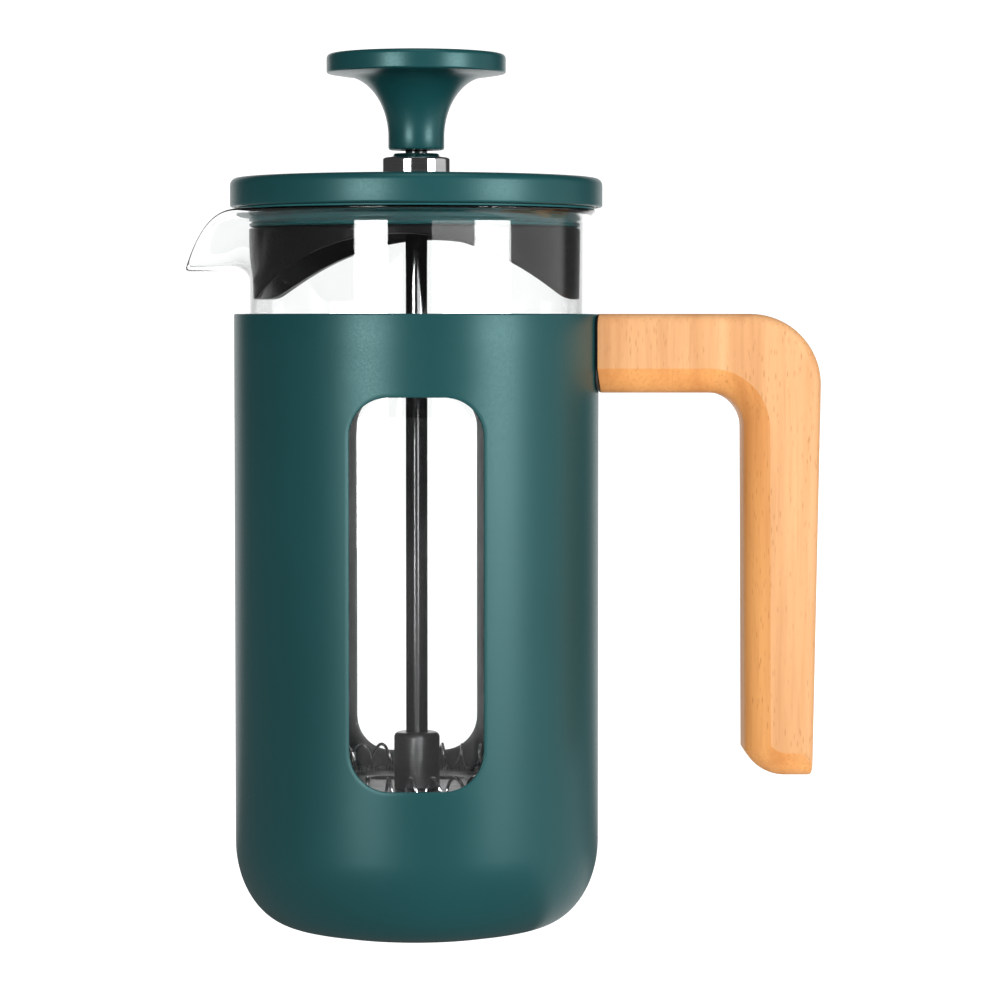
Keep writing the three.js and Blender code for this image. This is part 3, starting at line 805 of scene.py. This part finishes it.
lathe("look_lid_cap", rounded([
    (LID_R - LID_SHEET, LID_LIFT, 0.25), (LID_R, LID_LIFT, 0.45), (LID_R, CAP_TOP, 1.5),
    (LID_R * 0.5, CAP_TOP + LID_CROWN * 0.8, 8.0), (8.1, CROWN_TOP, 2.0), (LID_BORE, CROWN_TOP),
    (LID_BORE, CAP_UNDER), (LID_R - LID_SHEET, CAP_UNDER, 0.6),
], steps=6), "lid", PAINT, RIM_Z, 176)

# The seal's flange lies on the glass, and its sleeve has two ribs. Heights are from the glass rim.
SEAL_IN, SEAL_OUT, SEAL_RIB, SEAL_GROOVE = 32.1, 36.6, 33.7, 33.2
SEAL_LOW, SEAL_REST, SEAL_TOP = -3.7, 0.05, 0.45
lathe("look_lid_seal", rounded([
    (SEAL_IN, SEAL_LOW, 0.15), (SEAL_GROOVE - 0.1, SEAL_LOW, 0.15),
    (SEAL_RIB - 0.05, -3.35, 0.2), (SEAL_RIB - 0.05, -2.95, 0.2),
    (SEAL_GROOVE - 0.2, -2.6, 0.2), (SEAL_GROOVE - 0.1, -2.35, 0.2),
    (SEAL_RIB, -1.95, 0.4), (SEAL_RIB, -0.75, 0.5),
    (SEAL_GROOVE, -0.35, 0.2), (SEAL_GROOVE, SEAL_REST, 0.1),
    (SEAL_OUT, SEAL_REST, 0.15), (SEAL_OUT, SEAL_TOP, 0.15), (SEAL_IN, SEAL_TOP, 0.15),
], steps=5), "seal", SEAL_RUBBER, RIM_Z, 176)


def insert():
    """The lid's black moulding, with its tapered skirt arched at the front and the back."""
    arch, arch_top, depth, draft = 44.0, 5.5, 18.4, 0.2
    outer, inner, neck, neck_inner = 33.7, 32.1, 31.8, 30.4
    seat_depth, shoulder = 3.9, 1.4
    flange, under, top, boss, boss_top = 37.0, 0.5, 2.1, 7.0, CAP_UNDER - 0.05
    corner, eased, edge = 0.9, 0.3, 0.09
    columns = 240
    verts, rings = [], []

    def lower_edge(r, angle):
        """How far the skirt comes down at a point, as a height above the glass rim."""
        x = r * math.cos(angle - LID_TURNED)
        arched = -arch_top - arch + math.sqrt(max(0.0, arch * arch - x * x))
        return (arched - depth + math.hypot(arched + depth, corner)) / 2 - corner * 0.02

    def ring(height, radius):
        """A ring at a height, which may depend on the angle, drawn in by the skirt's taper."""
        rings.append(list(range(len(verts), len(verts) + columns)))
        for k in range(columns):
            a = TAU * k / columns
            z = height(a) if callable(height) else height
            r = radius - draft * max(0.0, -z - seat_depth) / (depth - seat_depth)
            verts.append((r * math.cos(a), r * math.sin(a), RIM_Z + z))

    def plain(profile):
        """Rings at each point of a profile."""
        for r, z in profile:
            ring(z, r)

    def skirt(r, start, shares):
        """Rings at shares of the way from a height to just above the lower edge."""
        for share in shares:
            ring(lambda a: lerp(start, lower_edge(r, a) + eased, share), r)

    plain(rounded([
        (LID_BORE, boss_top), (boss, boss_top, 0.3), (boss, top, 0.6), (flange, top, 0.3),
        (flange, under, 0.3), (neck, under, 0.2), (neck, -seat_depth, 0.2),
        (outer, -seat_depth, 0.4), (outer, -seat_depth - 1),
    ], closed=False)[:-1])
    skirt(outer, -seat_depth - 0.4, (0.15, 0.3, 0.45, 0.6, 0.75, 0.9, 1.0))
    ring(lambda a: lower_edge(outer, a) + edge, outer - edge)
    ring(lambda a: lower_edge(outer, a), outer - eased)
    ring(lambda a: lower_edge(inner, a), inner + eased)
    ring(lambda a: lower_edge(inner, a) + edge, inner + edge)
    skirt(inner, -seat_depth - shoulder, (1.0, 0.8, 0.6, 0.4, 0.2, 0.0))
    plain(rounded([
        (neck_inner, -seat_depth), (neck_inner, under, 0.3), (LID_BORE, under),
    ], closed=False))
    faces = bridge(rings + [rings[0]])
    return piece("look_lid_insert", verts, faces, "lid", [BLACK])


insert()

BUSH_BORE, STEM_R, BUSH_R, NECK_TOP_R, BUSH_HEIGHT = 2.4, 3.9, 7.1, 4.7, 4.75
BUSH_Z = RIM_Z + CROWN_TOP + 0.05
STEM_END = height_of("lid_bush")[0] - BUSH_Z
lathe("look_lid_bush", rounded([
    (BUSH_BORE, STEM_END, 0.2), (STEM_R, STEM_END, 0.3), (STEM_R, 0), (BUSH_R, 0, 0.25),
    (BUSH_R, BUSH_HEIGHT - 0.8, 0.55), (NECK_TOP_R + 0.6, BUSH_HEIGHT - 0.65, 0.2),
    (NECK_TOP_R, BUSH_HEIGHT, 0.25), (BUSH_BORE, BUSH_HEIGHT, 0.2),
], steps=5), "lid", CHROME, BUSH_Z, 128)


def lid_nut():
    """A hexagon nut with chamfered corners and a round hole."""
    low, high = height_of("lid_nut")
    flats, corner_r, bore, bore_wide, segments = 12.0, 6.25, 4.0, 4.35, 96
    chamfer, bore_chamfer = 0.7, 0.4
    verts, rings = [], []

    def ring(z, radius):
        rings.append(list(range(len(verts), len(verts) + segments)))
        for k in range(segments):
            a = TAU * k / segments
            r = radius(a)
            verts.append((r * math.cos(a), r * math.sin(a), z))

    def hexagon(a):
        return flats / 2 / math.cos(math.remainder(a, TAU / 6))

    half = [
        (bore_chamfer, lambda a: bore), (0, lambda a: bore_wide),
        (0, lambda a: min(hexagon(a), corner_r)), (chamfer, hexagon),
    ]
    for rise, radius in half:
        ring(low + rise, radius)
    for drop, radius in reversed(half):
        ring(high - drop, radius)
    return piece("look_lid_nut", verts, bridge(rings + [rings[0]]), "lid", [STEEL])


lid_nut()


# ---------------------------------------------------------------- plunger

KNOB_LOW, KNOB_HIGH = height_of("knob")
DISC_LOW = KNOB_HIGH - 3.9
NECK_R, DISC_R, KNOB_BORE = 5.75, 18.4, 3.3
BORE_TOP, FLARE_LOW, FLARE_OUT = KNOB_LOW + 13, KNOB_LOW + 2.6, 9.4
lathe("look_knob", (
    [(0, BORE_TOP), (KNOB_BORE, BORE_TOP), (KNOB_BORE, KNOB_LOW + 0.3), (KNOB_BORE + 0.3, KNOB_LOW)]
    + [(NECK_R - 0.45, KNOB_LOW), (NECK_R - 0.14, KNOB_LOW + 0.13), (NECK_R, KNOB_LOW + 0.45)]
    + arc(NECK_R + FLARE_OUT, FLARE_LOW, FLARE_OUT, DISC_LOW - 0.5 - FLARE_LOW, 180, 90, 30)
    + rounded([
        (DISC_R - 2.4, DISC_LOW - 0.35), (DISC_R, DISC_LOW, 0.45), (DISC_R, KNOB_HIGH, 0.9),
        (0, KNOB_HIGH),
    ], closed=False, steps=8)[1:]
), "plunger", KNOB_PAINT, closed=False)

# The rod steps down to a thread, which carries the hub, the plates, the mesh and the nut.
ROD_R, THREAD_R, STEP_Z = 2.25, 1.85, 32.7
ROD_LOW, ROD_HIGH = height_of("plunger_rod")
lathe("look_plunger_rod", rounded([
    (0, ROD_LOW), (THREAD_R, ROD_LOW, 0.4), (THREAD_R, STEP_Z), (ROD_R, STEP_Z + 0.1),
    (ROD_R, ROD_HIGH, 0.5), (0, ROD_HIGH),
], closed=False), "plunger", STEEL_ROD, segments=64, closed=False)

HUB_R, THREAD_BORE, ROD_BORE = 4.7, THREAD_R + 0.1, ROD_R + 0.1
HUB_LOW, HUB_HIGH = height_of("filter_hub")
lathe("look_filter_hub", rounded([
    (THREAD_BORE, HUB_LOW, 0.1), (HUB_R, HUB_LOW, 0.25), (HUB_R, HUB_HIGH, 1.1),
    (ROD_BORE, HUB_HIGH, 0.15), (ROD_BORE, STEP_Z + 0.05), (THREAD_BORE, STEP_Z - 0.05),
], steps=6), "plunger", STEEL_HUB, segments=96)


def plate(node, outlines):
    """A flat plate with holes, as high as its CAD node, cut from outlines, with eased edges."""
    low, high = height_of(node)
    z, thickness = (low + high) / 2, high - low
    curve = bpy.data.curves.new(node, "CURVE")
    curve.dimensions = "2D"
    curve.fill_mode = "BOTH"
    ease = 0.1
    curve.extrude = (thickness / 2 - ease) * MM
    curve.bevel_depth = ease * MM
    curve.offset = -ease * MM
    curve.bevel_resolution = 2
    for outline in outlines:
        spline = curve.splines.new("POLY")
        spline.points.add(len(outline) - 1)
        for point, (x, y) in zip(spline.points, outline):
            point.co = (x * MM, y * MM, 0, 1)
        spline.use_cyclic_u = True
    shape = bpy.data.objects.new(node + "_curve", curve)
    bpy.context.scene.collection.objects.link(shape)
    bpy.context.view_layer.update()
    evaluated = shape.evaluated_get(bpy.context.evaluated_depsgraph_get())
    mesh = bpy.data.meshes.new_from_object(evaluated)
    bpy.data.objects.remove(shape)
    bm = bmesh.new()
    bm.from_mesh(mesh)
    bmesh.ops.remove_doubles(bm, verts=bm.verts, dist=1e-6)
    verts = [(v.co.x / MM, v.co.y / MM, v.co.z / MM + z) for v in bm.verts]
    faces = [[v.index for v in f.verts] for f in bm.faces]
    bm.free()
    return piece("look_" + node, verts, faces, "plunger", [STEEL])


def circle(r, steps, x=0.0, y=0.0):
    return arc(x, y, r, r, 0, 360, steps)[:-1]


def spring_plate():
    """The round plate that carries the spring, with a ring of holes."""
    plate_r, hole_ring, hole_r, count = 30, 17.5, 3.4, 8
    outlines = [circle(plate_r, 144), circle(THREAD_BORE, 32)]
    for i in range(count):
        a = TAU * (i + 0.5) / count
        outlines.append(circle(hole_r, 40, hole_ring * math.cos(a), hole_ring * math.sin(a)))
    return plate("spring_plate", outlines)


def cross_plate():
    """The plate under the mesh: a rim and a middle joined by spokes, with open sectors between."""
    rim, ring_in, hub, half, spokes = 26.5, 22.5, 8.0, 3.0, 8
    wedge = TAU / spokes / 2
    outer_a, inner_a = wedge - math.asin(half / ring_in), wedge - math.asin(half / hub)
    outlines = [circle(rim, 144), circle(THREAD_BORE, 32)]
    for i in range(1, spokes + 1):
        middle = math.degrees(TAU * i / spokes)
        out, back = math.degrees(outer_a), math.degrees(inner_a)
        outlines.append(
            arc(0, 0, ring_in, ring_in, middle - out, middle + out, 12)
            + arc(0, 0, hub, hub, middle + back, middle - back, 2)
        )
    return plate("cross_plate", outlines)


spring_plate()
cross_plate()


def spring():
    """The coil spring on the plate's edge, as one closed wire, wound left-handed."""
    low, high = height_of("filter_spring")
    ring_r, wire, turns = 30.8, 0.34, 44
    coil_r, middle = (high - low) / 2 - wire, (low + high) / 2
    steps, sides, nudge = turns * 20, 8, 1e-4

    def outward(t):
        """From the coil's own middle to the wire, at a share of the way round."""
        a, b = TAU * t, -TAU * t * turns
        return Vector((math.cos(b) * math.cos(a), math.cos(b) * math.sin(a), math.sin(b)))

    def centre(t):
        a = TAU * t
        return Vector((ring_r * math.cos(a), ring_r * math.sin(a), middle)) + coil_r * outward(t)

    verts, rings = [], []
    for i in range(steps):
        t = i / steps
        here = centre(t)
        along = (centre(t + nudge) - centre(t - nudge)).normalized()
        across = along.cross(outward(t)).normalized()
        out = across.cross(along)
        rings.append(list(range(len(verts), len(verts) + sides)))
        for k in range(sides):
            c = TAU * k / sides
            verts.append(tuple(here + out * wire * math.cos(c) + across * wire * math.sin(c)))
    faces = bridge(rings + [rings[0]])
    return piece("look_filter_spring", verts, faces, "plunger", [SPRING_STEEL])


spring()

MESH_LOW, MESH_HIGH = height_of("filter_mesh")
CLOTH, DIP, FLAT_R, TURN_UP_R = 0.4, 0.5, 27.6, 33.6
lathe("look_filter_mesh", rounded([
    (THREAD_BORE, MESH_LOW + DIP), (FLAT_R, MESH_LOW + DIP, 0.3),
    (FLAT_R + 1, MESH_LOW, 0.3), (TURN_UP_R, MESH_LOW, 0.6),
    (TURN_UP_R, MESH_HIGH, 0.15), (TURN_UP_R - CLOTH, MESH_HIGH, 0.15),
    (TURN_UP_R - CLOTH, MESH_LOW + CLOTH, 0.3), (FLAT_R + 1.3, MESH_LOW + CLOTH, 0.3),
    (FLAT_R + 0.3, MESH_LOW + DIP + CLOTH, 0.3), (THREAD_BORE, MESH_LOW + DIP + CLOTH),
], steps=5), "plunger", MESH_CLOTH, segments=160)

NUT_R = 5.5
NUT_LOW, NUT_HIGH = height_of("filter_nut")
lathe("look_filter_nut", rounded([
    (THREAD_BORE, NUT_LOW), (NUT_R, NUT_LOW, 0.8), (NUT_R, NUT_HIGH, 0.3), (THREAD_BORE, NUT_HIGH),
], steps=5), "plunger", STEEL_HUB, segments=96)

# The threaded inserts keep their CAD shape, and only get a material.
for node in ("handle_insert_lower", "handle_insert_upper", "knob_insert"):
    for material_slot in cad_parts[node].material_slots:
        material_slot.material = BRASS


# ---------------------------------------------------------------- stage

def stage_mesh(name, verts, faces, material):
    """A surface of the setting, from points in millimetres."""
    mesh = bpy.data.meshes.new(name)
    mesh.from_pydata([(x * MM, y * MM, z * MM) for x, y, z in verts], [], faces)
    mesh.materials.append(material)
    obj = bpy.data.objects.new(name, mesh)
    bpy.context.scene.collection.objects.link(obj)
    return obj


DOME_R, FLOOR_R = 4000, 5000
# Where the bright rear and right begin and are full, as the share of a direction's length in Y or X.
REAR_SPAN, RIGHT_SPAN = (0.80, 0.90), (0.86, 0.92)
REAR_BRIGHT, RIGHT_BRIGHT = 1.25, 0.55


def glow_by_path(tree, shader, seen, fill, mirrored):
    """How bright a surface is to the eye and through glass, as fill light, and in reflections."""
    path = tree.nodes.new("ShaderNodeLightPath")
    diffuse = add_math(tree, "MINIMUM", path.outputs["Diffuse Depth"], 1.0)
    glossy = add_math(tree, "MINIMUM", path.outputs["Glossy Depth"], 1.0)
    bounced = add_math(tree, "MAXIMUM", diffuse, glossy)
    direct = add_math(tree, "MULTIPLY", add_math(tree, "SUBTRACT", 1.0, bounced), seen)
    only_glossy = add_math(tree, "SUBTRACT", bounced, diffuse)
    indirect = add_math(
        tree, "ADD",
        add_math(tree, "MULTIPLY", diffuse, fill), add_math(tree, "MULTIPLY", only_glossy, mirrored),
    )
    tree.links.new(add_math(tree, "ADD", direct, indirect), shader.inputs["Emission Strength"])


def rear_and_right(tree, dim):
    """Dim towards the camera and the left, bright behind the press and half bright at its right."""
    direction = tree.nodes.new("ShaderNodeVectorMath")
    direction.operation = "NORMALIZE"
    tree.links.new(tree.nodes.new("ShaderNodeTexCoord").outputs["Object"], direction.inputs[0])
    split = tree.nodes.new("ShaderNodeSeparateXYZ")
    tree.links.new(direction.outputs["Vector"], split.inputs[0])
    rear = to_range(tree, split.outputs["Y"], dim, REAR_BRIGHT, *REAR_SPAN)
    right = to_range(tree, split.outputs["X"], 0.0, RIGHT_BRIGHT, *RIGHT_SPAN)
    return add_math(tree, "ADD", rear, right)


def glowing(name, base, seen, fill, dim):
    """A white surface that also glows, so that a plain pale setting stays pale."""
    made, tree, shader = new_material(name, (base, base, base), 0.9, Specular_IOR_Level=0.1)
    shader.inputs["Emission Color"].default_value = (1, 1, 1, 1)
    glow_by_path(tree, shader, seen, fill, rear_and_right(tree, dim))
    made.cycles.emission_sampling = "NONE"
    return made


def studio_walls():
    """A dome, white to the eye. Reflections see its rear white and the rest dim, as in a studio."""
    white = glowing("studio_walls", base=0.0, seen=1.15, fill=0.22, dim=0.05)
    verts, faces = turned(arc(0, -10, DOME_R, DOME_R, 0, 90, 16), 48, closed=False)
    return stage_mesh("backdrop", verts, faces, white)


def studio_floor():
    """The floor, white to the eye. Reflections see it bright behind the press."""
    white = glowing("floor_white", base=0.22, seen=1.2, fill=0.5, dim=0.10)
    verts, faces = turned([(0, 0), (FLOOR_R, 0)], 96, closed=False)
    return stage_mesh("floor", verts, faces, white)


studio_floor()
studio_walls()

world = bpy.data.worlds.new("studio")
bpy.context.scene.world = world
world.use_nodes = True
background = world.node_tree.nodes["Background"]
background.inputs["Color"].default_value = (1, 1, 1, 1)
background.inputs["Strength"].default_value = 0.06


def aim(obj, at):
    """Turns a light or a camera to face a point."""
    obj.rotation_euler = (Vector(at) - obj.location).to_track_quat("-Z", "Y").to_euler()


def softbox(name, azimuth, height, distance, size, radiance):
    """A rectangular light that faces the press. Azimuth 0 is at the camera's side."""
    light = bpy.data.lights.new(name, "AREA")
    light.shape = "RECTANGLE"
    light.size, light.size_y = size
    light.energy = radiance * math.pi * size[0] * size[1]
    obj = bpy.data.objects.new(name, light)
    bpy.context.scene.collection.objects.link(obj)
    a = math.radians(azimuth)
    obj.location = (distance * math.sin(a), -distance * math.cos(a), height)
    aim(obj, (0, 0, 0.1))
    return obj


softbox("strip_left", -30, 0.22, 1.3, (0.52, 0.44), 12.5)
softbox("strip_right", 52, 0.22, 1.3, (0.60, 0.44), 11.0)
softbox("overhead", 10, 1.6, 0.5, (0.9, 0.9), 1.4)
front_fill = softbox("front_fill", 30, 0.5, 1.6, (1.2, 1.2), 3.4)
front_fill.visible_glossy = False

camera = bpy.data.cameras.new("camera")
camera.lens = 134.4
camera.sensor_width = 36
camera.clip_end = 50
camera_object = bpy.data.objects.new("camera", camera)
bpy.context.scene.collection.objects.link(camera_object)
camera_object.location = (0.0015, -0.770, 0.1258)
aim(camera_object, (0.0172, 0.0, 0.0884))
bpy.context.scene.camera = camera_object

bpy.context.scene.view_settings.view_transform = "Standard"
bpy.context.scene.view_settings.look = "None"
